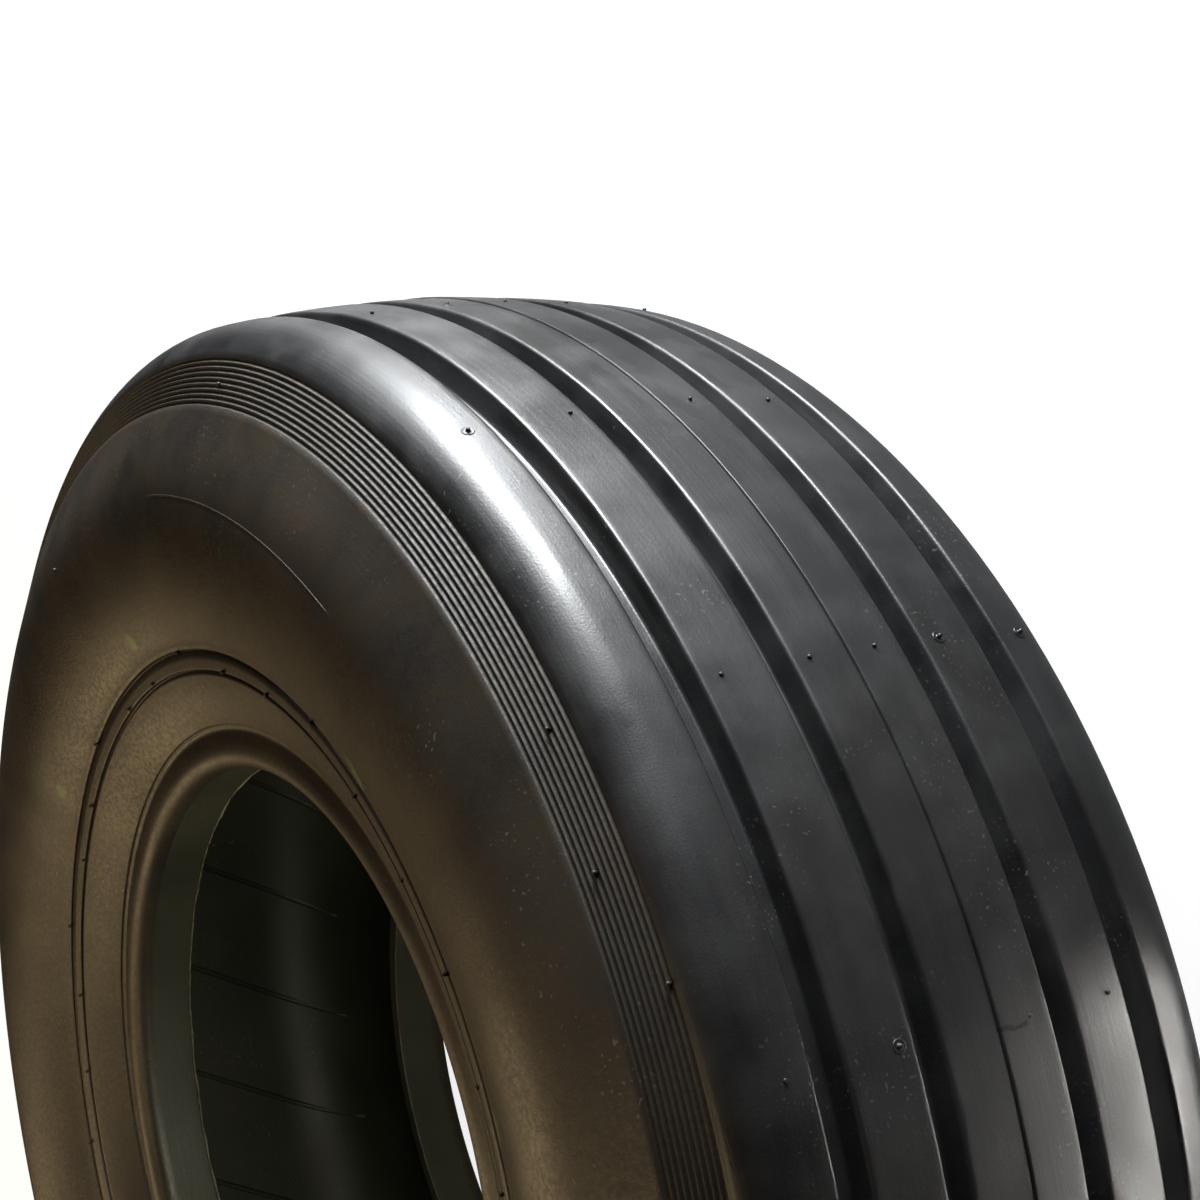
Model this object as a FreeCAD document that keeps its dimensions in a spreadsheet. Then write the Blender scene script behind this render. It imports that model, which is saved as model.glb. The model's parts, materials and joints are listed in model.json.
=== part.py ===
"""Aircraft tyre, 21 x 7.25-10, as one moulded piece of rubber. Millimetres.

The spin axis is Z and the middle plane of the tread is XY. Half of the section is drawn in the XZ plane
and turned about Z. The tread grooves, the fine lines of the buttress and the two bead lines are then cut,
and the half is mirrored in the middle plane.
"""
import FreeCAD, Part
import math
import os
import Sketcher

# Every size that can be set by itself. Heights are measured outward from the bead seat and drops inward from
# the tread's top. Widths are measured over both sides, and places along the axis from the middle plane.
SIZES = {
    "outer_diameter": 536.0,
    "section_width": 177.0,
    "widest_drop": 58.0,
    "tread_radius": 390.0,
    "shoulder_radius": 17.5,
    "buttress_angle": 27.0,
    "upper_wall_radius": 40.0,
    "bead_seat_diameter": 254.0,
    "heel_width": 131.0,
    "heel_radius": 6.0,
    "heel_height": 8.0,
    "valley_height": 13.0,
    "valley_depth": 1.2,
    "flange_height": 41.0,
    "flange_width": 152.5,
    "flange_thickness": 8.4,
    "flange_radius": 60.0,
    "toe_width": 88.0,
    "toe_height": 9.0,
    "toe_lean": 2.0,
    "crown_thickness": 19.0,
    "wall_thickness": 10.0,
    "inner_shoulder_radius": 38.0,
    "liner_knee_height": 45.4,
    "inner_groove_place": 19.9,
    "inner_groove_width": 7.0,
    "outer_groove_place": 46.2,
    "outer_groove_width": 8.6,
    "groove_depth": 6.6,
    "groove_wall_angle": 15.0,
    "rib_chamfer": 1.0,
    "buttress_line_start": 1.05,
    "buttress_line_pitch": 1.72,
    "buttress_line_width": 1.3,
    "buttress_line_depth": 0.6,
    "outer_line_step": 2.1,
    "inner_line_step": 8.8,
    "bead_line_width": 1.6,
    "bead_line_depth": 0.8,
}
BUTTRESS_LINES = 9
BEAD_LINES = ("outer_line", "inner_line")

START, END, CENTRE = 1, 2, 3
MIDDLE_LINE = -1
SHEET_ORIGIN = (-1, 1)


def make_sheet(doc):
    """Writes each size to a cell of its own and gives the cell its name."""
    sheet = doc.addObject("Spreadsheet::Sheet", "Sizes")
    for row, (name, value) in enumerate(SIZES.items(), start=1):
        sheet.set(f"A{row}", name)
        sheet.set(f"B{row}", str(value))
        sheet.setAlias(f"B{row}", name)
    doc.recompute()


def cell(name):
    """The expression that reads one size."""
    return f"Sizes.{name}"


def origin_feature(body, role):
    return next(f for f in body.Origin.OriginFeatures if f.Role == role)


class Outline:
    """A sketch in the XZ plane of a body. Its first coordinate is the distance from the spin axis, its second
    the height along it, and its sizes are read from the sheet."""

    def __init__(self, body, name):
        self.sketch = body.newObject("Sketcher::SketchObject", name)
        self.sketch.AttachmentSupport = [(origin_feature(body, "XZ_Plane"), "")]
        self.sketch.MapMode = "FlatFace"

    def line(self, start, end):
        ends = (FreeCAD.Vector(*start, 0), FreeCAD.Vector(*end, 0))
        return self.sketch.addGeometry(Part.LineSegment(*ends), False)

    def arc(self, centre, radius, begin, finish):
        circle = Part.Circle(FreeCAD.Vector(*centre, 0), FreeCAD.Vector(0, 0, 1), radius)
        return self.sketch.addGeometry(Part.ArcOfCircle(circle, begin, finish), False)

    def polygon(self, corners):
        """Closed lines through the corners. Returns them in order, each starting at its corner."""
        sides = [self.line(a, b) for a, b in zip(corners, corners[1:] + corners[:1])]
        for side, following in zip(sides, sides[1:] + sides[:1]):
            self.hold("Coincident", side, END, following, START)
        return sides

    def hold(self, kind, *parts):
        """A constraint with no size."""
        self.sketch.addConstraint(Sketcher.Constraint(kind, *parts))

    def measure(self, kind, expression, value, *parts):
        """A size. The drawing starts from the value and then follows the expression."""
        index = self.sketch.addConstraint(Sketcher.Constraint(kind, *parts, value))
        self.sketch.setExpression(f"Constraints[{index}]", expression)

    def across(self, expression, value, geometry, end):
        """Sets how far a point is from the spin axis."""
        self.measure("DistanceX", expression, value, *SHEET_ORIGIN, geometry, end)

    def along(self, expression, value, geometry, end):
        """Sets how far a point is from the middle plane."""
        self.measure("DistanceY", expression, value, *SHEET_ORIGIN, geometry, end)

    def radius(self, name, geometry):
        self.measure("Radius", cell(name), SIZES[name], geometry)

    def offer(self, name, place, geometry, end):
        """Measures where a point is, so that other sketches can read it by name."""
        for kind, way, value in zip(("DistanceX", "DistanceY"), ("across", "along"), place):
            size = Sketcher.Constraint(kind, *SHEET_ORIGIN, geometry, end, value)
            index = self.sketch.addConstraint(size)
            self.sketch.setDriving(index, False)
            self.sketch.renameConstraint(index, f"{name}_{way}")

    def mark(self, name, expression, place, curve):
        """Offers the point of a curve that lies at a distance from the axis."""
        spot = self.sketch.addGeometry(Part.Point(FreeCAD.Vector(*place, 0)), True)
        self.hold("PointOnObject", spot, START, curve)
        self.across(expression, place[0], spot, START)
        self.offer(name, place, spot, START)


def offered(sketch, name):
    """A point that a sketch offers: its place, and the expressions that read it as plain numbers."""
    names = [f"{name}_across", f"{name}_along"]
    place = tuple(sketch.getDatum(word).Value for word in names)
    return place, tuple(f"({sketch.Name}.Constraints.{word} / 1 mm)" for word in names)


def polar(centre, radius, angle):
    return centre[0] + radius * math.cos(angle), centre[1] + radius * math.sin(angle)


def touching_centre(crown, crown_radius, radius, low, lean):
    """Centre of the shoulder's arc, which touches the tread's arc from inside and the buttress line."""
    foot = (low[0] - radius * math.sin(lean), low[1] - radius * math.cos(lean))
    run = (math.cos(lean), -math.sin(lean))
    gap = (foot[0] - crown[0], foot[1] - crown[1])
    ahead = gap[0] * run[0] + gap[1] * run[1]
    rest = gap[0] ** 2 + gap[1] ** 2 - (crown_radius - radius) ** 2
    step = math.sqrt(ahead ** 2 - rest) - ahead
    return foot[0] + step * run[0], foot[1] + step * run[1]


def wall_arc(widest, foot):
    """Centre and radius of the arc that runs along the wheel's plane at the widest place and ends at a foot
    nearer the bead."""
    inward, down = widest[0] - foot[0], widest[1] - foot[1]
    radius = (inward ** 2 + down ** 2) / (2 * down)
    return (widest[0], widest[1] - radius), radius


def bulge_centre(start, end, radius):
    """Centre of the arc of a given radius that bulges away from the middle plane between two points."""
    chord = math.hypot(start[0] - end[0], start[1] - end[1])
    away = ((end[1] - start[1]) / chord, (start[0] - end[0]) / chord)
    depth = math.sqrt(radius ** 2 - (chord / 2) ** 2)
    return tuple((a + b) / 2 - n * depth for a, b, n in zip(start, end, away))


def angle_from(centre, place):
    return math.atan2(place[1] - centre[1], place[0] - centre[0])


def draw_section(body):
    """Half of the section: the outside from the tread's middle to the heel, then the bead and the liner."""
    out = Outline(body, "Section")
    outside = draw_outside(out)
    liner_end = draw_liner(out, draw_bead(out, outside[-1]))
    top = SIZES["outer_diameter"] / 2
    middle = out.line((top - SIZES["crown_thickness"], 0), (top, 0))
    out.hold("Coincident", liner_end, END, middle, START)
    out.hold("Coincident", middle, END, outside[0], START)
    return out.sketch


def draw_outside(out):
    """Tread, shoulder, buttress, sidewall and flange, each touching the next. Returns its lines and arcs."""
    s = SIZES
    top, half_width, seat = s["outer_diameter"] / 2, s["section_width"] / 2, s["bead_seat_diameter"] / 2
    tread_radius, shoulder_radius = s["tread_radius"], s["shoulder_radius"]
    widest = top - s["widest_drop"]
    lean = math.radians(s["buttress_angle"])

    crown_centre = (top - tread_radius, 0)
    upper_centre = (widest, half_width - s["upper_wall_radius"])
    buttress_low = polar(upper_centre, s["upper_wall_radius"], math.pi / 2 - lean)
    shoulder_centre = touching_centre(crown_centre, tread_radius, shoulder_radius, buttress_low, lean)
    crown_end = angle_from(crown_centre, shoulder_centre)
    buttress_high = polar(shoulder_centre, shoulder_radius, math.pi / 2 - lean)
    flange_high = (seat + s["flange_height"], s["flange_width"] / 2)
    lower_centre, lower_radius = wall_arc((widest, half_width), flange_high)
    valley = (seat + s["valley_height"], s["heel_width"] / 2 - s["valley_depth"])
    flange_centre = bulge_centre(flange_high, valley, s["flange_radius"])

    crown = out.arc(crown_centre, tread_radius, 0, crown_end)
    shoulder = out.arc(shoulder_centre, shoulder_radius, crown_end, math.pi / 2 - lean)
    buttress = out.line(buttress_high, buttress_low)
    upper = out.arc(upper_centre, s["upper_wall_radius"], math.pi / 2 - lean, math.pi / 2)
    lower = out.arc(lower_centre, lower_radius, math.pi / 2, angle_from(lower_centre, flange_high))
    flange = out.arc(flange_centre, s["flange_radius"], angle_from(flange_centre, flange_high),
                     angle_from(flange_centre, valley))

    out.hold("PointOnObject", crown, CENTRE, MIDDLE_LINE)
    out.hold("PointOnObject", crown, START, MIDDLE_LINE)
    chain = [crown, shoulder, buttress, upper, lower]
    for piece, following in zip(chain, chain[1:]):
        out.hold("Tangent", piece, END, following, START)
    out.hold("Vertical", upper, END, upper, CENTRE)
    out.hold("Coincident", lower, END, flange, START)

    out.across(f"{cell('outer_diameter')} / 2", top, crown, START)
    out.radius("tread_radius", crown)
    out.radius("shoulder_radius", shoulder)
    out.measure("Angle", f"180 - {cell('buttress_angle')}", math.pi - lean, buttress)
    out.radius("upper_wall_radius", upper)
    out.across(below_top("widest_drop"), widest, upper, END)
    out.along(f"{cell('section_width')} / 2", half_width, upper, END)
    out.across(above_seat("flange_height"), flange_high[0], lower, END)
    out.along(f"{cell('flange_width')} / 2", flange_high[1], lower, END)
    out.radius("flange_radius", flange)
    out.across(above_seat("valley_height"), valley[0], flange, END)
    out.along(f"{cell('heel_width')} / 2 - {cell('valley_depth')}", valley[1], flange, END)
    out.offer("buttress_top", buttress_high, shoulder, END)
    for name in BEAD_LINES:
        across = flange_high[0] - s[f"{name}_step"]
        rise = math.sqrt(s["flange_radius"] ** 2 - (across - flange_centre[0]) ** 2)
        expression = f"{above_seat('flange_height')} - {cell(f'{name}_step')}"
        out.mark(name, expression, (across, flange_centre[1] + rise), flange)
    return chain + [flange]


def below_top(name):
    """The expression of a distance from the axis that is given as a drop from the tread's top."""
    return f"{cell('outer_diameter')} / 2 - {cell(name)}"


def above_seat(name):
    """The expression of a distance from the axis that is given as a height above the bead seat."""
    return f"{cell('bead_seat_diameter')} / 2 + {cell(name)}"


def draw_bead(out, flange):
    """Heel, bead seat and toe. Returns the line that leaves the toe."""
    s = SIZES
    seat, heel_face, toe_place = s["bead_seat_diameter"] / 2, s["heel_width"] / 2, s["toe_width"] / 2
    valley = (seat + s["valley_height"], heel_face - s["valley_depth"])
    crest = (seat + s["heel_height"], heel_face)
    heel_centre = (seat + s["heel_radius"], heel_face - s["heel_radius"])
    toe_top = (seat + s["toe_height"], toe_place + s["toe_lean"])

    rise = out.line(valley, crest)
    face = out.line(crest, (heel_centre[0], heel_face))
    heel = out.arc(heel_centre, s["heel_radius"], math.pi / 2, math.pi)
    base = out.line((seat, heel_centre[1]), (seat, toe_place))
    nose = out.line((seat, toe_place), toe_top)

    out.hold("Coincident", flange, END, rise, START)
    out.hold("Coincident", rise, END, face, START)
    out.hold("Horizontal", face)
    out.hold("Tangent", face, END, heel, START)
    out.hold("Tangent", heel, END, base, START)
    out.hold("Vertical", base)
    out.hold("Coincident", base, END, nose, START)

    out.across(above_seat("heel_height"), crest[0], face, START)
    out.along(f"{cell('heel_width')} / 2", heel_face, face, START)
    out.radius("heel_radius", heel)
    out.across(f"{cell('bead_seat_diameter')} / 2", seat, base, END)
    out.along(f"{cell('toe_width')} / 2", toe_place, base, END)
    out.across(above_seat("toe_height"), toe_top[0], nose, END)
    out.along(f"{cell('toe_width')} / 2 + {cell('toe_lean')}", toe_top[1], nose, END)
    return nose


def draw_liner(out, nose):
    """The inside, from the toe to the tread's middle. Returns its last line."""
    s = SIZES
    seat, top = s["bead_seat_diameter"] / 2, s["outer_diameter"] / 2 - s["crown_thickness"]
    inner_face = s["section_width"] / 2 - s["wall_thickness"]
    toe_top = (seat + s["toe_height"], s["toe_width"] / 2 + s["toe_lean"])
    shoulder_centre = (top - s["inner_shoulder_radius"], inner_face - s["inner_shoulder_radius"])
    knee = (seat + s["liner_knee_height"], s["flange_width"] / 2 - s["flange_thickness"])
    wall_centre, wall_radius = wall_arc((shoulder_centre[0], inner_face), knee)

    bead = out.line(toe_top, knee)
    wall = out.arc(wall_centre, wall_radius, math.pi / 2, angle_from(wall_centre, knee))
    shoulder = out.arc(shoulder_centre, s["inner_shoulder_radius"], 0, math.pi / 2)
    crown = out.line((top, shoulder_centre[1]), (top, 0))

    out.hold("Coincident", nose, END, bead, START)
    out.hold("Coincident", bead, END, wall, END)
    out.hold("Tangent", wall, START, shoulder, END)
    out.hold("Vertical", wall, START, wall, CENTRE)
    out.hold("Tangent", shoulder, START, crown, START)
    out.hold("Vertical", crown)
    out.hold("PointOnObject", crown, END, MIDDLE_LINE)

    out.across(below_top("crown_thickness"), top, crown, END)
    out.along(f"{cell('section_width')} / 2 - {cell('wall_thickness')}", inner_face, wall, START)
    out.radius("inner_shoulder_radius", shoulder)
    out.across(above_seat("liner_knee_height"), knee[0], bead, END)
    out.along(f"{cell('flange_width')} / 2 - {cell('flange_thickness')}", knee[1], bead, END)
    return crown


def draw_tread_grooves(body):
    """The two tread grooves of one half, each with a flat floor between two leaning walls."""
    out = Outline(body, "TreadGrooveSection")
    for name in ("inner_groove", "outer_groove"):
        add_groove(out, f"{name}_place", f"{name}_width")
    return out.sketch


def add_groove(out, place_name, width_name):
    """One groove, as wide as its size says where it meets the tread. The ribs' corners are chamfered, and the
    outline goes on above the tread, so that the groove opens all the way."""
    place, width, depth = SIZES[place_name], SIZES[width_name], SIZES["groove_depth"]
    radius, chamfer = SIZES["tread_radius"], SIZES["rib_chamfer"]
    slope = math.tan(math.radians(SIZES["groove_wall_angle"]))
    surface = SIZES["outer_diameter"] / 2 - radius + math.sqrt(radius ** 2 - place ** 2)
    surface_text = (f"{cell('outer_diameter')} / 2 - {cell('tread_radius')}"
                    f" + sqrt({cell('tread_radius')} ^ 2 - {cell(place_name)} ^ 2)")
    depth_text, chamfer_text = cell("groove_depth"), cell("rib_chamfer")

    # From the floor up: how far below the tread each corner lies, and how far in from the groove's edge.
    levels = [(depth, chamfer + (depth - chamfer) * slope), (chamfer, chamfer), (-chamfer, -chamfer)]
    slope_text = f"tan({cell('groove_wall_angle')})"
    texts = [(depth_text, f"{chamfer_text} + ({depth_text} - {chamfer_text}) * {slope_text}"),
             (chamfer_text, chamfer_text), (f"-{chamfer_text}", f"-{chamfer_text}")]
    low = [(-1, level, text) for level, text in zip(levels, texts)]
    high = [(1, level, text) for _, level, text in reversed(low)]
    path = low + high
    corners = [(surface - down, place + side * (width / 2 - inset)) for side, (down, inset), _ in path]
    for edge, corner, (side, _, (down, inset)) in zip(out.polygon(corners), corners, path):
        from_middle = f"{cell(place_name)} + {side} * ({cell(width_name)} / 2 - ({inset}))"
        out.across(f"{surface_text} - ({down})", corner[0], edge, START)
        out.along(from_middle, corner[1], edge, START)


def draw_buttress_lines(body, section):
    """The fine parallel grooves that follow each other down the buttress, cut square to it."""
    out = Outline(body, "ButtressLineSection")
    top, top_text = offered(section, "buttress_top")
    lean, lean_text = math.radians(SIZES["buttress_angle"]), cell("buttress_angle")
    start, pitch = "buttress_line_start", "buttress_line_pitch"
    for number in range(BUTTRESS_LINES):
        down = SIZES[start] + number * SIZES[pitch]
        down_text = f"({cell(start)} + {number} * {cell(pitch)})"
        place = (top[0] - down * math.cos(lean), top[1] + down * math.sin(lean))
        text = (f"({top_text[0]} - {down_text} * cos({lean_text}))",
                f"({top_text[1]} + {down_text} * sin({lean_text}))")
        add_notch(out, place, text, lean, lean_text, "buttress_line")
    return out.sketch


def draw_bead_lines(body, section):
    """The two fine grooves round the flange, cut straight in along the axis."""
    out = Outline(body, "BeadLineSection")
    for name in BEAD_LINES:
        add_notch(out, *offered(section, name), 0, "0", "bead_line")
    return out.sketch


def add_notch(out, place, text, lean, lean_text, name):
    """A triangular groove at a place on the surface, as wide and deep as its sizes say, square to a surface
    that leans by an angle from the wheel's plane. Its two upper corners stand clear of the surface."""
    width, depth = SIZES[f"{name}_width"], SIZES[f"{name}_depth"]
    width_text, depth_text = cell(f"{name}_width"), cell(f"{name}_depth")
    corners, texts = [], []
    for side, level in ((0, -1), (1, 1), (-1, 1)):
        beside, above = side * width, level * depth
        beside_text, above_text = f"{side} * {width_text}", f"{level} * {depth_text}"
        corners.append((place[0] + beside * math.cos(lean) + above * math.sin(lean),
                        place[1] - beside * math.sin(lean) + above * math.cos(lean)))
        texts.append((f"{text[0]} + {beside_text} * cos({lean_text}) + {above_text} * sin({lean_text})",
                      f"{text[1]} - {beside_text} * sin({lean_text}) + {above_text} * cos({lean_text})"))
    for edge, corner, words in zip(out.polygon(corners), corners, texts):
        out.across(words[0], corner[0], edge, START)
        out.along(words[1], corner[1], edge, START)


def turn(body, name, kind, sketch):
    """Turns a sketch a full circle about the spin axis, and makes sure that it adds or cuts something."""
    before = body.Shape.Volume if body.Tip else 0
    feature = body.newObject(kind, name)
    feature.Profile = sketch
    feature.ReferenceAxis = (origin_feature(body, "Z_Axis"), [""])
    feature.Angle = 360
    feature.Refine = True
    body.Document.recompute()
    change = feature.Shape.Volume - before
    if (change > 0) != (kind == "PartDesign::Revolution"):
        raise RuntimeError(f"{name} changes the volume by {change:.1f}")
    return feature


def build_tire(doc):
    body = doc.addObject("PartDesign::Body", "Tire")
    body.Label = "tire"
    doc.recompute()
    section = draw_section(body)
    features = [turn(body, "HalfTire", "PartDesign::Revolution", section),
                turn(body, "TreadGrooves", "PartDesign::Groove", draw_tread_grooves(body)),
                turn(body, "ButtressLines", "PartDesign::Groove", draw_buttress_lines(body, section)),
                turn(body, "BeadLines", "PartDesign::Groove", draw_bead_lines(body, section))]
    mirror = body.newObject("PartDesign::Mirrored", "OtherHalf")
    mirror.Originals = features
    mirror.MirrorPlane = (origin_feature(body, "XY_Plane"), [""])
    mirror.Refine = True
    body.Tip = mirror
    doc.recompute()
    return body


def check(doc, parts):
    """Stops with a message if anything in the document failed or a piece isn't one valid solid."""
    for item in doc.Objects:
        bad = {"Invalid", "Error"} & set(item.State)
        if bad:
            raise RuntimeError(f"{item.Label}: {bad}")
    for piece in parts:
        shape = piece.Shape
        if shape.isNull() or not shape.isValid() or len(shape.Solids) != 1:
            raise RuntimeError(f"{piece.Label} isn't one valid solid")


def main():
    doc = FreeCAD.newDocument("AircraftTire")
    make_sheet(doc)
    parts = [build_tire(doc)]
    doc.recompute()
    check(doc, parts)
    os.makedirs("parts", exist_ok=True)
    for piece in parts:
        piece.Shape.exportStep(f"parts/{piece.Label}.step")
        print(piece.Label, f"{piece.Shape.Volume / 1e6:.3f} litres,", len(piece.Shape.Faces), "faces")


main()
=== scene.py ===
"""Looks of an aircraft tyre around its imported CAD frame: one moulded ring of black rubber, lying flat.

The ring is modelled again from its section, with the soft edges, fine lines and flash of the real moulding.
Sizes are in millimetres and become metres where a mesh is made.
"""
import bpy
import json
import math
from mathutils import Matrix, Vector, noise

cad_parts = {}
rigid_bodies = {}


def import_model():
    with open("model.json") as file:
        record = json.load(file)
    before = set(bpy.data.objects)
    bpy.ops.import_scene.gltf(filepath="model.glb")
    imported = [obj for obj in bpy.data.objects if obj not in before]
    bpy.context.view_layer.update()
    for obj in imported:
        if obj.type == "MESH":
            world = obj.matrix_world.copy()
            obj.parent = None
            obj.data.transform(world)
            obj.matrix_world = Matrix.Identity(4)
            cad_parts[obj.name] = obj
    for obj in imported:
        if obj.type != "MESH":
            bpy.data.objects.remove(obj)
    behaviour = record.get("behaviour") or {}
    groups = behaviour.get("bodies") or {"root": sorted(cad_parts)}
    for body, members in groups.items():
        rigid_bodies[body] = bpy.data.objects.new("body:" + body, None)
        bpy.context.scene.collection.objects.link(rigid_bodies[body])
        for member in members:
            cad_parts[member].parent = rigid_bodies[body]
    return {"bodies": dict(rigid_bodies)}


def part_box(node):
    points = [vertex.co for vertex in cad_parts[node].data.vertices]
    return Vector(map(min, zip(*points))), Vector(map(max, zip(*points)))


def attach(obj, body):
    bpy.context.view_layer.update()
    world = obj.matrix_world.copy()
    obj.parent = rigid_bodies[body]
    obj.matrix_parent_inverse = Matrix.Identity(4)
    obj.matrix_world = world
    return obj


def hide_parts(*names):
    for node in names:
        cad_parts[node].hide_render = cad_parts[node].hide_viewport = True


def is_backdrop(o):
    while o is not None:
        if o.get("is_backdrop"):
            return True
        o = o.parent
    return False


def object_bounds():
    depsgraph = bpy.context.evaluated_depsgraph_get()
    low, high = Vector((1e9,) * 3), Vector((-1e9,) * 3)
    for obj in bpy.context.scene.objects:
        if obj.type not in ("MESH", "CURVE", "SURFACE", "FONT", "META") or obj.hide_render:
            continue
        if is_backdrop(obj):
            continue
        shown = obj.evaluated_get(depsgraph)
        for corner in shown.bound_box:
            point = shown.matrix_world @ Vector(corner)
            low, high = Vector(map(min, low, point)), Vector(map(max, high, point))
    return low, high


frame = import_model()
cad_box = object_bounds()

MM = 0.001
BODY = "root" if "root" in frame["bodies"] else next(iter(frame["bodies"]))
NODE = "tire"

# The section's driving sizes. The first two come from the frame.
OUTER_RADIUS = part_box(NODE)[1].x / MM
HALF_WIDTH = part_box(NODE)[1].z / MM
TREAD_RADIUS = 390.0
SHOULDER_RADIUS = 17.5
BUTTRESS_ANGLE = math.radians(27)
WIDEST_DROP = 58.0
UPPER_WALL_RADIUS = 40.0
SEAT_RADIUS = 127.0
HEEL_PLACE = 65.5
HEEL_RADIUS = 6.0
HEEL_HEIGHT = 8.0
VALLEY_HEIGHT = 13.0
VALLEY_DEPTH = 1.2
FLANGE_HEIGHT = 41.0
FLANGE_PLACE = 76.25
FLANGE_RADIUS = 60.0
TOE_PLACE = 44.0
TOE_HEIGHT = 9.0
TOE_LEAN = 2.0
CROWN_THICKNESS = 19.0
WALL_THICKNESS = 10.0
INNER_SHOULDER_RADIUS = 38.0
KNEE_HEIGHT = 45.4
KNEE_PLACE = 67.85

# The moulded detail. A place on the crown is measured along the axis from the middle plane.
# A groove is (place, width), and a fine line is (width, depth).
GROOVES = ((19.9, 7.0), (46.2, 8.6))
GROOVE_DEPTH = 6.6
GROOVE_LEAN = math.radians(15)
GROOVE_MARGIN = 2.2
RIB_ROUND = 2.0
FLOOR_ROUND = 1.2
EDGE_WANDER = 0.22
BUTTRESS_LINES = 9
BUTTRESS_LINE_START = 1.05
BUTTRESS_LINE_PITCH = 1.72
BUTTRESS_LINE = (1.35, 0.75)
BEAD_LINE_STEPS = (2.1, 8.8)
BEAD_LINE = (1.2, 1.3)
VALLEY_LINE_STEP = 1.6
VALLEY_LINE = (0.9, 0.35)
# The parting line is (distance from the middle plane, height), and the step beside it is (height, reach).
PARTING_PROFILE = ((0.0, -0.9), (0.16, -0.8), (0.28, -0.03), (0.5, 0.0), (1.5, 0.0))
PARTING_STEP = (0.4, 15.0)
# The crease on the centre rib, which is not cut but painted as dark shade into the tread's colour: (angle,
# lowest place, highest place).
PAINTED_CREASE_SHADE = (-2.4, -9.0, 1.0)
# The thin torn flash at the toes.
FLASH_HEIGHT = 0.9
FLASH_THICKNESS = 0.4

# Vent nibs stand in rows across the tread. The rows are a fixed angle apart, and two kinds take turns.
# A place past the crown's reach lies round the shoulder.
NIB_ROWS = 18
FIRST_ROW_ANGLE = -2.0
NIB_PLACES = ((56.8, 27.5, -10.0, -36.0), (36.3, 11.5, -8.1, -29.5, -58.4))
CROWN_REACH = 57
RINGED_NIB_LIMIT = 0.66
BEAD_NIBS = 34
BEAD_NIB_RADII = (160.6, 166.0)
# Single nibs of the wall: (angle, radius).
WALL_NIBS = ((62.9, 246.4), (18.6, 248.4), (10.4, 245.4), (3.7, 253.0), (95.8, 213.2), (141.0, 250.0),
             (-30.0, 247.0), (-75.0, 214.0), (-121.0, 249.0), (-160.0, 214.0))
NIB_RADIUS = 0.6

# The lines that the moulding bladder leaves across the liner, and the heights at which they end.
LINER_LINES = 32
LINER_LINE_LEAN = math.radians(28)
LINER_LINE_ENDS = (50.0, -72.0)
LINER_LINE_WIDTH = 2.5
LINER_LINE_HEIGHT = 0.4

# Fine raised lines run along the bare band of the upper sidewall: (first angle, last angle, radius).
BAND_LINES = ((34.0, 74.0, 214.5), (158.0, 198.0, 214.5), (-86.0, -46.0, 214.5))
BAND_LINE_WIDTH = 0.6
BAND_LINE_HEIGHT = 0.14

# How deep a fine raised line sinks into the rubber at its ends.
END_DEPTH = 0.4

# Green smears of the wall: (angle, radius, height, reach, strength).
GREEN_MARKS = ((33.6, 170.5, 78.2, 6.8, 0.9), (-1.5, 178.0, 81.3, 6.0, 0.8),
               (86.6, 174.9, 80.1, 4.4, 0.7), (121.3, 175.7, 80.5, 4.0, 0.7))

# Steps round the tyre.
AROUND = 192

# Colours of dust and smears, and the darker and lighter colour of the liner.
DUST = (0.11, 0.105, 0.09)
GREEN = (0.09, 0.16, 0.035)
LINER_COLOURS = ((0.013, 0.0127, 0.008), (0.026, 0.0255, 0.0155))

# Lamp colours.
COOL = (0.95, 0.98, 1.0)
WHITE = (1.0, 0.97, 0.92)
WARM = (1.0, 0.72, 0.38)
OLIVE = (0.95, 0.95, 0.72)

# The photograph's lens and the offset of its middle, in its pixels, and the sensor's width in millimetres.
PHOTO_SIDE = 1200
LENS_PIXELS = 2087.6
SHIFT_PIXELS = 170
SENSOR_WIDTH = 36

# The floor, in metres. The camera sees its glow and its pale colour, and every other ray meets its grey.
FLOOR_REACH = 6.0
FLOOR_GAP = 0.0002
FLOOR_GLOW = 0.86
FLOOR_PALE = (0.3, 0.3, 0.3, 1)
FLOOR_GREY = (0.36, 0.36, 0.36, 1)
FLOOR_ROUGHNESS = 0.5

# The world's light on the object.
WORLD_LIGHT = 0.02
PLAIN_WHITE = (1, 1, 1, 1)


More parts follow.
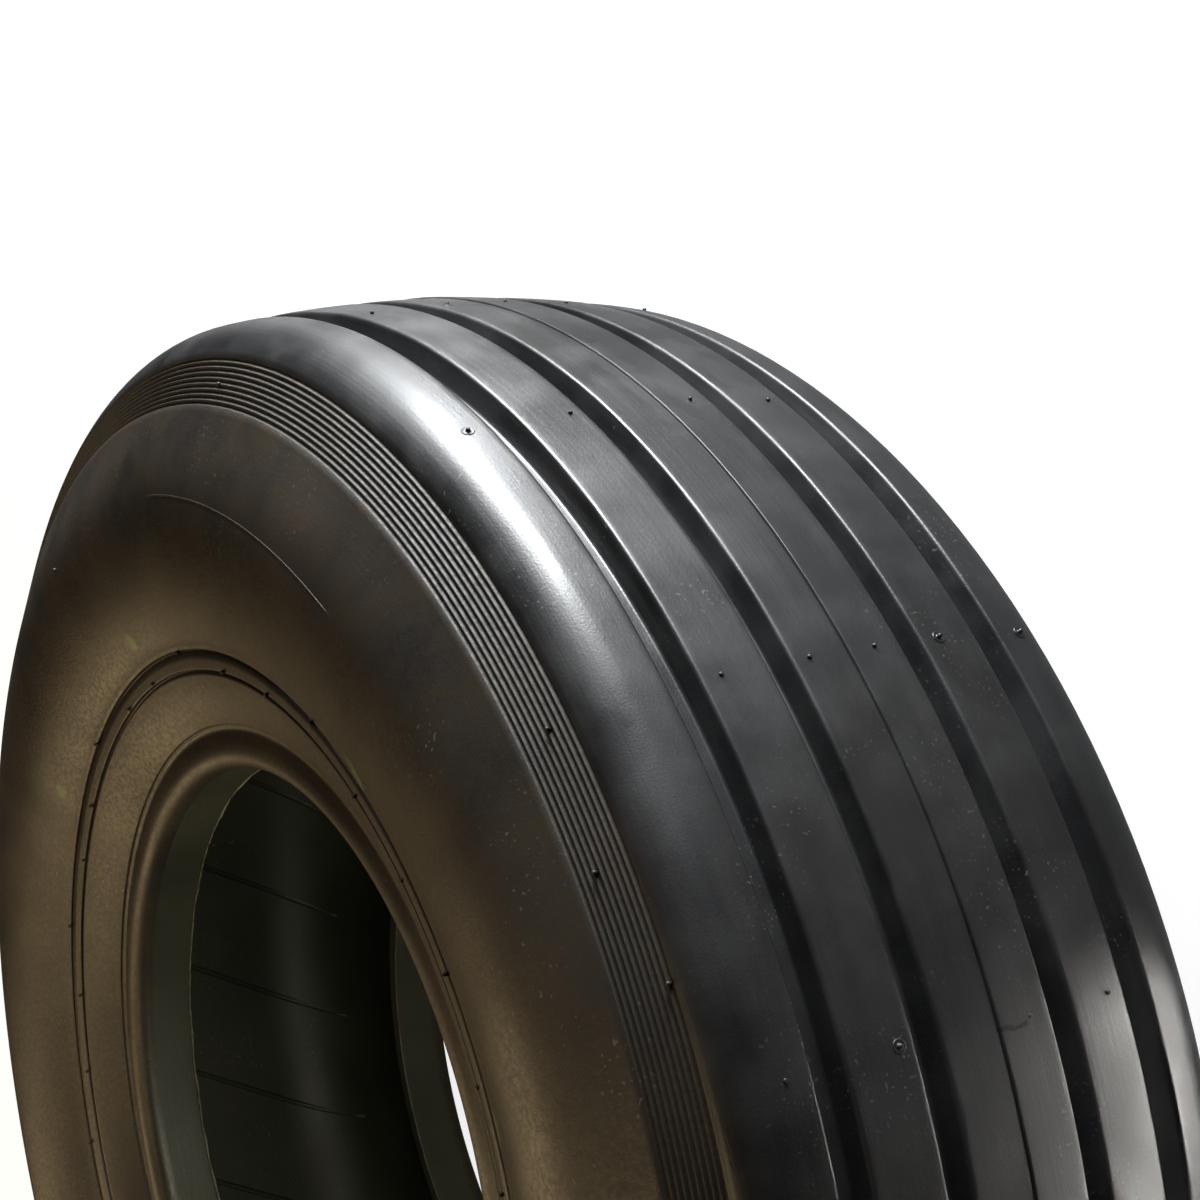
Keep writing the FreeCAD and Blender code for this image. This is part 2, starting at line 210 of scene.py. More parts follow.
class Track:
    """The section's outline as lines and arcs. It runs from the tread's middle over the sidewall and the
    bead to the middle of the liner, and its points are (distance from the axis, height along it)."""

    def __init__(self):
        self.parts = []
        self.length = 0.0

    def line(self, start, end):
        size = math.dist(start, end)
        self.add(size, lambda t: tuple(a + (b - a) * t for a, b in zip(start, end)))

    def arc(self, centre, radius, begin, finish):
        def place(t):
            angle = begin + (finish - begin) * t
            return centre[0] + radius * math.cos(angle), centre[1] + radius * math.sin(angle)
        self.add(radius * abs(finish - begin), place)

    def add(self, size, place):
        self.parts.append((self.length, size, place))
        self.length += size

    def at(self, s):
        """Place on the outline after a length s."""
        start, size, place = next((p for p in reversed(self.parts) if p[0] <= s), self.parts[0])
        return place(min(max((s - start) / size, 0), 1))

    def raised(self, s, height, step=0.05):
        """Place at a height off the outline, outside the rubber."""
        a, b = self.at(max(s - step, 0)), self.at(min(s + step, self.length))
        size = math.dist(a, b)
        here = self.at(s)
        return here[0] + height * (b[1] - a[1]) / size, here[1] - height * (b[0] - a[0]) / size

    def start(self, part):
        return self.parts[part][0]

    def search(self, low, high, before):
        """The length between two at which the test turns false."""
        for _ in range(40):
            middle = (low + high) / 2
            low, high = (middle, high) if before(self.at(middle)) else (low, middle)
        return low

    def where(self, radius, first, last=None):
        """How far along the outside the distance from the axis has shrunk to a radius."""
        end = (first if last is None else last) + 1
        return self.search(self.start(first), self.start(end), lambda point: point[0] > radius)

    def length_at_height(self, height):
        """How far along the liner the height over the middle plane has shrunk to a height."""
        return self.search(self.start(INSIDE), self.length, lambda point: point[1] > height)


def angle_from(centre, place):
    return math.atan2(place[1] - centre[1], place[0] - centre[0])


def wall_arc(widest, foot):
    """Centre and radius of an arc that is level at the widest place and ends at the foot."""
    inward, down = widest[0] - foot[0], widest[1] - foot[1]
    radius = (inward ** 2 + down ** 2) / (2 * down)
    return (widest[0], widest[1] - radius), radius


def touching_centre(crown, crown_radius, radius, low, lean):
    """Centre of the shoulder's arc, which touches the crown's arc from inside and the buttress line."""
    foot = (low[0] - radius * math.sin(lean), low[1] - radius * math.cos(lean))
    run = (math.cos(lean), -math.sin(lean))
    gap = (foot[0] - crown[0], foot[1] - crown[1])
    ahead = gap[0] * run[0] + gap[1] * run[1]
    rest = gap[0] ** 2 + gap[1] ** 2 - (crown_radius - radius) ** 2
    step = math.sqrt(ahead ** 2 - rest) - ahead
    return foot[0] + step * run[0], foot[1] + step * run[1]


def bulge_centre(start, end, radius):
    chord = math.dist(start, end)
    away = ((end[1] - start[1]) / chord, (start[0] - end[0]) / chord)
    depth = math.sqrt(radius ** 2 - (chord / 2) ** 2)
    return tuple((a + b) / 2 - n * depth for a, b, n in zip(start, end, away))


# The parts of the outline, in their order.
CROWN, SHOULDER, BUTTRESS, UPPER, LOWER, FLANGE, RISE, FACE = range(8)
HEEL, SEAT, NOSE, BEAD, WALL, INSIDE, UNDER = range(8, 15)


def section_track():
    track = Track()
    widest = OUTER_RADIUS - WIDEST_DROP
    crown_centre = (OUTER_RADIUS - TREAD_RADIUS, 0)
    upper_centre = (widest, HALF_WIDTH - UPPER_WALL_RADIUS)
    low = (upper_centre[0] + UPPER_WALL_RADIUS * math.sin(BUTTRESS_ANGLE),
           upper_centre[1] + UPPER_WALL_RADIUS * math.cos(BUTTRESS_ANGLE))
    shoulder_centre = touching_centre(crown_centre, TREAD_RADIUS, SHOULDER_RADIUS, low, BUTTRESS_ANGLE)
    high = (shoulder_centre[0] + SHOULDER_RADIUS * math.sin(BUTTRESS_ANGLE),
            shoulder_centre[1] + SHOULDER_RADIUS * math.cos(BUTTRESS_ANGLE))
    crown_end = angle_from(crown_centre, shoulder_centre)
    level, leaning = math.pi / 2, math.pi / 2 - BUTTRESS_ANGLE
    track.arc(crown_centre, TREAD_RADIUS, 0, crown_end)
    track.arc(shoulder_centre, SHOULDER_RADIUS, crown_end, leaning)
    track.line(high, low)
    track.arc(upper_centre, UPPER_WALL_RADIUS, leaning, level)

    flange_top = (SEAT_RADIUS + FLANGE_HEIGHT, FLANGE_PLACE)
    centre, radius = wall_arc((widest, HALF_WIDTH), flange_top)
    track.arc(centre, radius, level, angle_from(centre, flange_top))
    valley = (SEAT_RADIUS + VALLEY_HEIGHT, HEEL_PLACE - VALLEY_DEPTH)
    centre = bulge_centre(flange_top, valley, FLANGE_RADIUS)
    track.arc(centre, FLANGE_RADIUS, angle_from(centre, flange_top), angle_from(centre, valley))

    crest = (SEAT_RADIUS + HEEL_HEIGHT, HEEL_PLACE)
    heel_centre = (SEAT_RADIUS + HEEL_RADIUS, HEEL_PLACE - HEEL_RADIUS)
    track.line(valley, crest)
    track.line(crest, (heel_centre[0], HEEL_PLACE))
    track.arc(heel_centre, HEEL_RADIUS, level, math.pi)
    track.line((SEAT_RADIUS, heel_centre[1]), (SEAT_RADIUS, TOE_PLACE))

    toe_top = (SEAT_RADIUS + TOE_HEIGHT, TOE_PLACE + TOE_LEAN)
    knee = (SEAT_RADIUS + KNEE_HEIGHT, KNEE_PLACE)
    under = OUTER_RADIUS - CROWN_THICKNESS
    inner_centre = (under - INNER_SHOULDER_RADIUS, HALF_WIDTH - WALL_THICKNESS - INNER_SHOULDER_RADIUS)
    centre, radius = wall_arc((inner_centre[0], HALF_WIDTH - WALL_THICKNESS), knee)
    track.line((SEAT_RADIUS, TOE_PLACE), toe_top)
    track.line(toe_top, knee)
    track.arc(centre, radius, angle_from(centre, knee), level)
    track.arc(inner_centre, INNER_SHOULDER_RADIUS, level, 0)
    track.line((under, inner_centre[1]), (under, 0))
    return track


def rounded(corners, rounds, count=4):
    """A line through the corners with each inner corner rounded off."""
    path = [corners[0]]
    for before, here, after, size in zip(corners, corners[1:], corners[2:], rounds):
        ways = [Vector(p) - Vector(here) for p in (before, after)]
        half_turn = ways[0].angle(ways[1]) / 2
        run = min(size / math.tan(half_turn), 0.49 * ways[0].length, 0.49 * ways[1].length)
        begin, finish = (Vector(here) + w.normalized() * run for w in ways)
        for k in range(count + 1):
            t = k / count
            path.append(tuple(begin.lerp(Vector(here), t).lerp(Vector(here).lerp(finish, t), t)))
    return path + [corners[-1]]


def groove_profile(width):
    """(offset, height) across a tread groove."""
    reach, foot = width / 2, width / 2 - GROOVE_DEPTH * math.tan(GROOVE_LEAN)
    corners = [(-reach - GROOVE_MARGIN, 0), (-reach, 0), (-foot, -GROOVE_DEPTH), (foot, -GROOVE_DEPTH),
               (reach, 0), (reach + GROOVE_MARGIN, 0)]
    return rounded(corners, (RIB_ROUND, FLOOR_ROUND, FLOOR_ROUND, RIB_ROUND))


def notch_profile(size):
    """(offset, height) across a fine moulded line."""
    half, depth = size[0] / 2, size[1]
    near, middle, far = 0.45 * half, 0.9 * half, 1.15 * half
    return [(-far, 0), (-middle, -0.2 * depth), (-near, -0.9 * depth), (0, -depth),
            (near, -0.9 * depth), (middle, -0.2 * depth), (far, 0)]


def detail_spots(track):
    """Every moulded line and groove as (its place along the outline, its profile, whether it wanders)."""
    spots = []
    for place, width in GROOVES:
        spots.append((TREAD_RADIUS * math.asin(place / TREAD_RADIUS), groove_profile(width), True))
    for number in range(BUTTRESS_LINES):
        s = track.start(BUTTRESS) + BUTTRESS_LINE_START + number * BUTTRESS_LINE_PITCH
        spots.append((s, notch_profile(BUTTRESS_LINE), False))
    for step in BEAD_LINE_STEPS:
        spots.append((track.start(FLANGE) + step, notch_profile(BEAD_LINE), False))
    spots.append((track.start(RISE) - VALLEY_LINE_STEP, notch_profile(VALLEY_LINE), False))
    return spots


# About how far apart the points of each part lie, and how far each eased corner reaches.
PART_STEPS = {CROWN: 5.0, SHOULDER: 1.6, BUTTRESS: 3.0, UPPER: 3.5, LOWER: 4.0, FLANGE: 2.5, RISE: 1.0,
              FACE: 0.7, HEEL: 1.2, SEAT: 4.0, NOSE: 3.0, BEAD: 6.0, WALL: 6.0, INSIDE: 6.0, UNDER: 9.0}
EASED_CORNERS = {RISE: 1.2, FACE: 1.4, SEAT: 1.0, NOSE: 0.6, BEAD: 2.0, WALL: 3.0}


def eased(track, s, reach, count=5):
    """Points that round off a corner of the outline."""
    begin, corner, finish = (Vector(track.at(place)) for place in (s - reach, s, s + reach))
    for k in range(count + 1):
        t = k / count
        yield s + reach * (2 * t - 1), begin.lerp(corner, t).lerp(corner.lerp(finish, t), t)


def stations(track):
    """Half the section in order, as (place along the outline, point, how it wanders round the tyre)."""
    made, taken = [], []
    for number, (s0, profile, wanders) in enumerate(detail_spots(track)):
        for offset, height in profile:
            edge = wanders and height > -0.75 * GROOVE_DEPTH and abs(offset) < abs(profile[0][0])
            key = (2 * number + (offset > 0)) if edge else None
            made.append((s0 + offset, track.raised(s0 + offset, height), key))
        taken.append((s0 + profile[0][0], s0 + profile[-1][0]))
    for part, reach in EASED_CORNERS.items():
        s0 = track.start(part)
        made += [(s, tuple(point), None) for s, point in eased(track, s0, reach)]
        taken.append((s0 - reach, s0 + reach))
    made += [(s, track.raised(s, height), None) for s, height in PARTING_PROFILE]
    taken.append((0, PARTING_PROFILE[-1][0]))
    for part, step in PART_STEPS.items():
        start, size, _ = track.parts[part]
        count = max(1, round(size / step))
        for s in (start + size * k / count for k in range(count)):
            if not any(a - 0.3 < s < b + 0.3 for a, b in taken):
                made.append((s, track.at(s), None))
    made.append((track.length, track.at(track.length), None))
    return sorted(made, key=lambda item: item[0])


def wander(key, side, angle):
    """A slow random swing to both sides of nothing, which closes round the tyre."""
    reach = 2.4
    spot = Vector((reach * math.cos(angle), reach * math.sin(angle), 7.3 * key + 3.1 * side))
    return 1.6 * noise.noise(spot) + 0.7 * noise.noise(spot * 4.1)


def parting_step(s):
    """How far the second half of the mould stands out at a place beside the parting line."""
    height, reach = PARTING_STEP
    return height * max(0.0, 1 - s / reach)


def ring_mesh(name, track):
    """The whole tyre as one closed mesh. Its faces get material 0 on the tread, 1 on the wall, 2 inside
    and 3 on the lined buttress."""
    half = stations(track)
    lines_end = BUTTRESS_LINE_START + (BUTTRESS_LINES - 0.6) * BUTTRESS_LINE_PITCH
    limits = (track.start(BUTTRESS) - 0.2, track.start(BUTTRESS) + lines_end, track.start(SEAT) + 0.5)
    order = (0, 3, 1, 2)
    zones = [order[sum(s >= limit for limit in limits)] for s, _, _ in half]
    outline = [(point, key, 1) for _, point, key in half]
    beyond = [((r + parting_step(s), -z), key, -1) for s, (r, z), key in half[1:-1]]
    outline += reversed(beyond)
    zones = zones[:-1] + zones[-2::-1]
    rows = len(outline)
    points, faces = [], []
    for turn in range(AROUND):
        angle = 2 * math.pi * turn / AROUND
        for (r, z), key, side in outline:
            place = z if key is None else z + EDGE_WANDER * wander(key, side, angle)
            points.append((r * math.cos(angle) * MM, r * math.sin(angle) * MM, place * MM))
    for turn in range(AROUND):
        here, there = turn * rows, (turn + 1) % AROUND * rows
        for k in range(rows):
            following = (k + 1) % rows
            faces.append((here + k, there + k, there + following, here + following))
    mesh = new_mesh(name, points, faces)
    mesh.polygons.foreach_set("material_index", [zones[k] for _ in range(AROUND) for k in range(rows)])
    return mesh


def new_mesh(name, points, faces):
    mesh = bpy.data.meshes.new(name)
    mesh.from_pydata(points, [], faces)
    mesh.polygons.foreach_set("use_smooth", [True] * len(faces))
    mesh.update()
    print(name, sum(len(face) - 2 for face in faces), "triangles")
    return mesh


def add_object(name, data):
    item = bpy.data.objects.new(name, data)
    bpy.context.scene.collection.objects.link(item)
    return item


def add_piece(name, mesh, *materials):
    """A piece of the object, which moves with the tyre."""
    piece = add_object(name, mesh)
    for material in materials:
        mesh.materials.append(material)
    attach(piece, BODY)
    return piece


class Nodes:
    """Short calls that add nodes to a material."""

    def __init__(self, name):
        self.material = bpy.data.materials.new(name)
        self.material.use_nodes = True
        self.tree = self.material.node_tree
        self.shader = self.tree.nodes["Principled BSDF"]
        place = self.add("ShaderNodeTexCoord").outputs["Object"]
        self.place = place
        split = self.add("ShaderNodeSeparateXYZ", Vector=place)
        self.x, self.y, self.z = split.outputs
        flat = self.add("ShaderNodeCombineXYZ", X=self.x, Y=self.y).outputs[0]
        self.radius = self.vector("LENGTH", flat)
        self.turn = self.vector("NORMALIZE", flat)

    def add(self, kind, **sockets):
        node = self.tree.nodes.new(kind)
        for name, value in sockets.items():
            self.feed(node.inputs[name], value)
        return node

    def feed(self, socket, value):
        if isinstance(value, bpy.types.NodeSocket):
            self.tree.links.new(value, socket)
        else:
            socket.default_value = value

    def math(self, kind, *values):
        node = self.add("ShaderNodeMath")
        node.operation = kind
        for socket, value in zip(node.inputs, values):
            self.feed(socket, value)
        return node.outputs[0]

    def vector(self, kind, *values):
        node = self.add("ShaderNodeVectorMath")
        node.operation = kind
        for socket, value in zip(node.inputs, values):
            self.feed(socket, value)
        return node.outputs["Value" if kind in ("LENGTH", "DISTANCE", "DOT_PRODUCT") else "Vector"]

    def noise(self, scale, detail=2.0, vector=None):
        node = self.add("ShaderNodeTexNoise", Scale=scale, Detail=detail, Vector=vector or self.place)
        return node.outputs["Fac"]

    def streaks(self, swings, fineness, detail=3.0):
        """Noise drawn out round the tyre: a few swings round it, and fine across it."""
        across = self.math("MULTIPLY", self.z, fineness)
        around = self.vector("MULTIPLY", self.turn, (swings, swings, swings))
        lift = self.add("ShaderNodeCombineXYZ", Z=self.math("MULTIPLY", self.radius, fineness)).outputs[0]
        vector = self.vector("ADD", around, lift)
        node = self.add("ShaderNodeTexNoise", Scale=1.0, Detail=detail, Vector=vector)
        node.noise_dimensions = "4D"
        self.feed(node.inputs["W"], across)
        return node.outputs["Fac"]

    def span(self, value, low, high, first=0.0, last=1.0):
        """The value carried from one range to another, held at its ends."""
        node = self.add("ShaderNodeMapRange", Value=value)
        for socket, number in zip(list(node.inputs)[1:5], (low, high, first, last)):
            socket.default_value = number
        return node.outputs[0]

    def mix(self, share, first, second):
        node = self.add("ShaderNodeMix")
        node.data_type = "RGBA"
        self.feed(node.inputs[0], share)
        for socket, colour in zip((node.inputs[6], node.inputs[7]), (first, second)):
            self.feed(socket, colour if isinstance(colour, bpy.types.NodeSocket) else (*colour, 1))
        return node.outputs[2]

    def near(self, angle, radius, height, reach):
        """1 at a point of the tyre, 0 from the reach on."""
        turn = math.radians(angle)
        spot = (radius * math.cos(turn) * MM, radius * math.sin(turn) * MM, height * MM)
        return self.span(self.vector("DISTANCE", self.place, spot), 0.0, reach * MM, 1.0, 0.0)

    def bump(self, height, distance, below=None):
        node = self.add("ShaderNodeBump", Height=height, Distance=distance)
        if below is not None:
            self.feed(node.inputs["Normal"], below)
        return node.outputs[0]


def finish_rubber(nodes, colour, roughness, grain, waves, streaks):
    """What all the rubber shares: fine grain, slow waves and drawn-out streaks, each with its depth."""
    nodes.feed(nodes.shader.inputs["Base Color"], colour)
    nodes.feed(nodes.shader.inputs["Roughness"], roughness)
    slow = nodes.bump(nodes.noise(24.0, 1.0), waves * MM)
    drawn = nodes.bump(nodes.streaks(2.5, 900.0), streaks * MM, slow)
    fine = nodes.bump(nodes.noise(1500.0, 3.0), grain * MM, drawn)
    nodes.feed(nodes.shader.inputs["Normal"], fine)
    return nodes.material


def specks(nodes, colour, amount=0.74, scale=1100.0):
    """Light dust specks over a colour, which lie in patches."""
    grain = nodes.span(nodes.noise(scale, 0.0), amount, amount + 0.05, 0.0, 0.6)
    share = nodes.math("MULTIPLY", grain, nodes.span(nodes.noise(30.0, 2.0), 0.48, 0.64))
    return nodes.mix(share, colour, DUST)


def tread_rubber():
    nodes = Nodes("tread_rubber")
    cloud = nodes.span(nodes.noise(13.0, 5.0), 0.36, 0.66)
    smear = nodes.span(nodes.streaks(5.0, 160.0), 0.35, 0.7)
    colour = nodes.mix(cloud, (0.005, 0.005, 0.0054), (0.012, 0.012, 0.0128))
    colour = nodes.mix(nodes.math("MULTIPLY", smear, 0.35), colour, (0.019, 0.019, 0.02))
    smudge = nodes.span(nodes.noise(52.0, 4.0), 0.42, 0.66)
    colour = nodes.mix(nodes.math("MULTIPLY", smudge, 0.4), colour, (0.021, 0.021, 0.021))
    marks = nodes.math("ADD", nodes.span(smear, 0, 1, 0.0, 0.06), nodes.span(smudge, 0, 1, 0.0, 0.09))
    gloss = nodes.math("ADD", nodes.span(cloud, 0, 1, 0.27, 0.4), marks)
    painted_crease_shade = tread_crease_painted_shade(nodes)
    # Painted shade: the crease is drawn by colouring the rubber near black and making it rougher, not by
    # cutting it.
    colour = nodes.mix(painted_crease_shade, specks(nodes, colour), (0.001, 0.001, 0.001))
    gloss = nodes.math("ADD", gloss, nodes.math("MULTIPLY", painted_crease_shade, 0.5))
    return finish_rubber(nodes, colour, gloss, grain=0.04, waves=0.5, streaks=0.05)


def tread_crease_painted_shade(nodes):
    """1 on a crease that runs across half of the centre rib, 0 elsewhere. This is where the tread's colour
    is painted near black as the crease's shade.
    """
    angle, low, high = PAINTED_CREASE_SHADE
    turn, middle, half = math.radians(angle), (low + high) / 2 * MM, (high - low) / 2 * MM
    beside = nodes.vector("DOT_PRODUCT", nodes.place, (-math.sin(turn), math.cos(turn), 0))
    beside = nodes.math("ADD", beside, nodes.span(nodes.noise(300.0, 2.0), 0.3, 0.7, -0.0004, 0.0004))
    across = nodes.span(nodes.math("ABSOLUTE", beside), 0.0003, 0.0007, 1.0, 0.0)
    along = nodes.math("ABSOLUTE", nodes.math("SUBTRACT", nodes.z, middle))
    front = nodes.span(nodes.x, 0.0, 0.01)
    ends = nodes.span(along, half - 0.0004, half, 1.0, 0.0)
    return nodes.math("MULTIPLY", nodes.math("MULTIPLY", across, front), ends)


def wall_rubber(name="wall_rubber", dull=0.0):
    nodes = Nodes(name)
    cloud = nodes.span(nodes.noise(14.0, 4.0), 0.34, 0.68)
    stain = nodes.span(nodes.noise(58.0, 5.0), 0.38, 0.64)
    grain = nodes.span(nodes.noise(640.0, 3.0), 0.38, 0.62)
    colour = nodes.mix(cloud, (0.010, 0.0082, 0.006), (0.021, 0.0162, 0.0102))
    colour = nodes.mix(nodes.math("MULTIPLY", stain, 0.55), colour, (0.036, 0.0245, 0.0115))
    colour = nodes.mix(nodes.math("MULTIPLY", grain, 0.55), colour, (0.0055, 0.0052, 0.0055))
    blotch = nodes.noise(500.0, 2.0)
    for angle, radius, height, reach, strength in GREEN_MARKS:
        share = nodes.math("MULTIPLY", nodes.near(angle, radius, height, reach), blotch)
        colour = nodes.mix(nodes.span(share, 0.08, 0.26, 0.0, strength), colour, GREEN)
    colour = specks(nodes, colour, 0.75, 900.0)
    gloss = nodes.span(cloud, 0, 1, 0.37 + dull, 0.47 + dull)
    gloss = nodes.math("ADD", gloss, nodes.span(grain, 0, 1, 0.0, 0.1))
    return finish_rubber(nodes, colour, gloss, grain=0.05, waves=0.8, streaks=0.03)


def liner_rubber(name="liner_rubber", painted_shade_factor=1.0):
    nodes = Nodes(name)
    cloud = nodes.span(nodes.noise(16.0, 4.0), 0.34, 0.68)
    # A factor below 1 darkens both colours. This is painted shade, which the liner's lines get in place of
    # the shade along their sides.
    dark, light = (tuple(painted_shade_factor * part for part in colour) for colour in LINER_COLOURS)
    colour = specks(nodes, nodes.mix(cloud, dark, light), 0.75, 900.0)
    gloss = nodes.span(cloud, 0, 1, 0.5, 0.6)
    return finish_rubber(nodes, colour, gloss, grain=0.09, waves=0.8, streaks=0.05)


def flash_rubber():
    """The thin flash is worn paler than the rest."""
    nodes = Nodes("flash_rubber")
    worn = nodes.span(nodes.noise(260.0, 3.0), 0.35, 0.65)
    colour = nodes.mix(worn, (0.02, 0.019, 0.014), (0.10, 0.095, 0.075))
    gloss = nodes.span(nodes.noise(90.0, 2.0), 0.3, 0.7, 0.45, 0.6)
    return finish_rubber(nodes, colour, gloss, grain=0.05, waves=0.1, streaks=0.02)


def surface_at(track, s, angle, side=1, height=0.0):
    """A point of the surface and the way out of the rubber there, in metres."""
    base, out = track.raised(s, height), track.raised(s, height + 1.0)
    turn = Vector((math.cos(angle), math.sin(angle), 0))
    here = (turn * base[0] + Vector((0, 0, side * base[1]))) * MM
    there = (turn * out[0] + Vector((0, 0, side * out[1]))) * MM
    return here, (there - here).normalized()


def turned(profile, here, out, count, points, faces):
    """Adds a small turned shape that stands on a point: (radius, height) rings from its foot to its tip."""
    beside = out.orthogonal().normalized()
    other = out.cross(beside)
    first = len(points)
    for radius, height in profile:
        for k in range(count):
            angle = 2 * math.pi * k / count
            points.append(here + out * height * MM
                          + (beside * math.cos(angle) + other * math.sin(angle)) * radius * MM)
    for ring in range(len(profile) - 1):
        for k in range(count):
            a, b = first + ring * count + k, first + ring * count + (k + 1) % count
            faces.append((a, b, b + count, a + count))
    faces.append(tuple(first + k for k in reversed(range(count))))
    faces.append(tuple(first + (len(profile) - 1) * count + k for k in range(count)))


def nib(here, out, height, points, faces):
    """A vent nib, with the mark of the mould's plug round it."""
    ring, width, rise = 2.6 * NIB_RADIUS, 0.28, 0.14
    foot = -0.35
    profile = [(ring + width, foot), (ring + width * 0.8, rise * 0.6), (ring, rise),
               (ring - width * 0.8, rise * 0.5), (NIB_RADIUS * 1.3, 0.0), (NIB_RADIUS, height * 0.3),
               (NIB_RADIUS * 0.85, height), (NIB_RADIUS * 0.4, height * 1.12)]
    turned(profile, here, out, 12, points, faces)


def nib_stub(here, out, height, points, faces):
    """A vent nib that was cut short, without a mark round it."""
    profile = [(NIB_RADIUS, -0.6), (NIB_RADIUS, height * 0.5), (NIB_RADIUS * 0.8, height),
               (NIB_RADIUS * 0.35, height * 1.1)]
    turned(profile, here, out, 8, points, faces)


def random_share(number):
    """A fixed random number between 0 and 1 for each whole number."""
    return (math.sin(number * 12.9898) * 43758.5453) % 1.0


def add_tread_nibs(track, material):
    points, faces = [], []
    for row in range(NIB_ROWS):
        angle = math.radians(FIRST_ROW_ANGLE + 360 / NIB_ROWS * row)
        for k, place in enumerate(NIB_PLACES[row % 2]):
            sway = random_share(7 * row + k)
            s = TREAD_RADIUS * math.asin(min(abs(place), CROWN_REACH) / TREAD_RADIUS)
            s += max(abs(place) - CROWN_REACH, 0)
            here, out = surface_at(track, s, angle + 0.004 * (sway - 0.5), 1 if place > 0 else -1)
            shape = nib if sway > RINGED_NIB_LIMIT else nib_stub
            shape(here, out, 0.35 + 0.7 * sway, points, faces)
    add_piece("tread_vent_nibs", new_mesh("tread_vent_nibs", points, faces), material)


def add_wall_nibs(track, material):
    """The nibs along both beads and the single ones of the seen wall."""
    points, faces = [], []
    for side in (1, -1):
        for k in range(BEAD_NIBS):
            angle = math.radians(1.0 + 360 / BEAD_NIBS * k + 2.0 * random_share(k + 3))
            s = track.where(BEAD_NIB_RADII[k % 3 == 1], FLANGE)
            here, out = surface_at(track, s, angle, side)
            nib_stub(here, out, 0.7 + 0.9 * random_share(k), points, faces)
    for angle, radius in WALL_NIBS:
        here, out = surface_at(track, track.where(radius, BUTTRESS, LOWER), math.radians(angle))
        nib_stub(here, out, 0.9, points, faces)
    add_piece("wall_vent_nibs", new_mesh("wall_vent_nibs", points, faces), material)


def strip_mesh(name, paths, width, height, closed=False):
    """Low rounded ridges along paths. A path is a list of (point on the surface, way out of the rubber)."""
    shape = ((-0.5, -0.35), (-0.38, 0.55), (-0.15, 0.95), (0.15, 0.95), (0.38, 0.55), (0.5, -0.35))
    points, faces = [], []
    for path in paths:
        first, count = len(points), len(path)
        for k, (here, out) in enumerate(path):
            ahead = path[(k + 1) % count if closed else min(k + 1, count - 1)][0]
            behind = path[k - 1 if closed else max(k - 1, 0)][0]
            side = (ahead - behind).cross(out).normalized()
            points += [here + side * x * width * MM + out * y * height * MM for x, y in shape]
        size = len(shape)
        for k in range(count if closed else count - 1):
            a, b = first + k * size, first + (k + 1) % count * size
            faces += [(a + j, a + (j + 1) % size, b + (j + 1) % size, b + j) for j in range(size)]
        if not closed:
            faces.append(tuple(first + j for j in reversed(range(size))))
            faces.append(tuple(first + (count - 1) * size + j for j in range(size)))
    return new_mesh(name, points, faces)


def sunk_end(number, count, steepness):
    """How deep a raised line has sunk at one of its points, which is nothing but near its ends."""
    return END_DEPTH * max(0, 1 - steepness * min(number, count - number) / count)


def add_liner_lines(track, material):
    """The slanting lines across the liner."""
    under = OUTER_RADIUS - CROWN_THICKNESS
    high, low = LINER_LINE_ENDS
    count = 28
    paths = []
    for number in range(LINER_LINES):
        path = []
        for k in range(count + 1):
            height = high + (low - high) * k / count
            angle = 2 * math.pi * number / LINER_LINES - math.tan(LINER_LINE_LEAN) * height / under
            s = track.length_at_height(abs(height))
            side = 1 if height >= 0 else -1
            path.append(surface_at(track, s, angle, side, -sunk_end(k, count, 5)))
        paths.append(path)
    mesh = strip_mesh("liner_lines", paths, LINER_LINE_WIDTH, LINER_LINE_HEIGHT)
    add_piece("liner_lines", mesh, material)


def add_band_lines(track, material):
    """The fine raised lines of the upper sidewall."""
    paths = []
    for first, last, radius in BAND_LINES:
        s, count = track.where(radius, BUTTRESS, LOWER), 120
        path = []
        for k in range(count + 1):
            angle = math.radians(first + (last - first) * k / count)
            path.append(surface_at(track, s, angle, height=-sunk_end(k, count, 8)))
        paths.append(path)
    mesh = strip_mesh("band_lines", paths, BAND_LINE_WIDTH, BAND_LINE_HEIGHT)
    add_piece("band_lines", mesh, material)


def add_flash(track, material):
    """The thin torn flash along both toes."""
    paths = []
    for side in (1, -1):
        path = []
        for k in range(AROUND * 2):
            angle = math.pi * k / AROUND
            here, out = surface_at(track, track.start(NOSE), angle, side)
            out = Vector((-math.cos(angle), -math.sin(angle), -0.6 * side)).normalized()
            lift = 0.25 + 0.75 * abs(wander(9, side, 3 * angle))
            path.append((here, out * lift))
        paths.append(path)
    mesh = strip_mesh("toe_flash", paths, FLASH_THICKNESS, FLASH_HEIGHT, closed=True)
    add_piece("toe_flash", mesh, material)


def add_tire():
    track = section_track()
    tread = tread_rubber()
    wall = wall_rubber()
    liner = liner_rubber()
    buttress = wall_rubber("buttress_rubber", 0.16)
    tire = add_piece("tire_rubber", ring_mesh("tire_rubber", track), tread, wall, liner, buttress)
    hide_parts(NODE)
    add_tread_nibs(track, tread)
    add_wall_nibs(track, wall)
    # Painted shade: the liner's lines get a copy of the liner's rubber at half its colour, because the real
    # raised lines look dark only from their shade.
    add_liner_lines(track, liner_rubber("liner_line_painted_shade", 0.5))
    add_band_lines(track, wall)
    add_flash(track, flash_rubber())


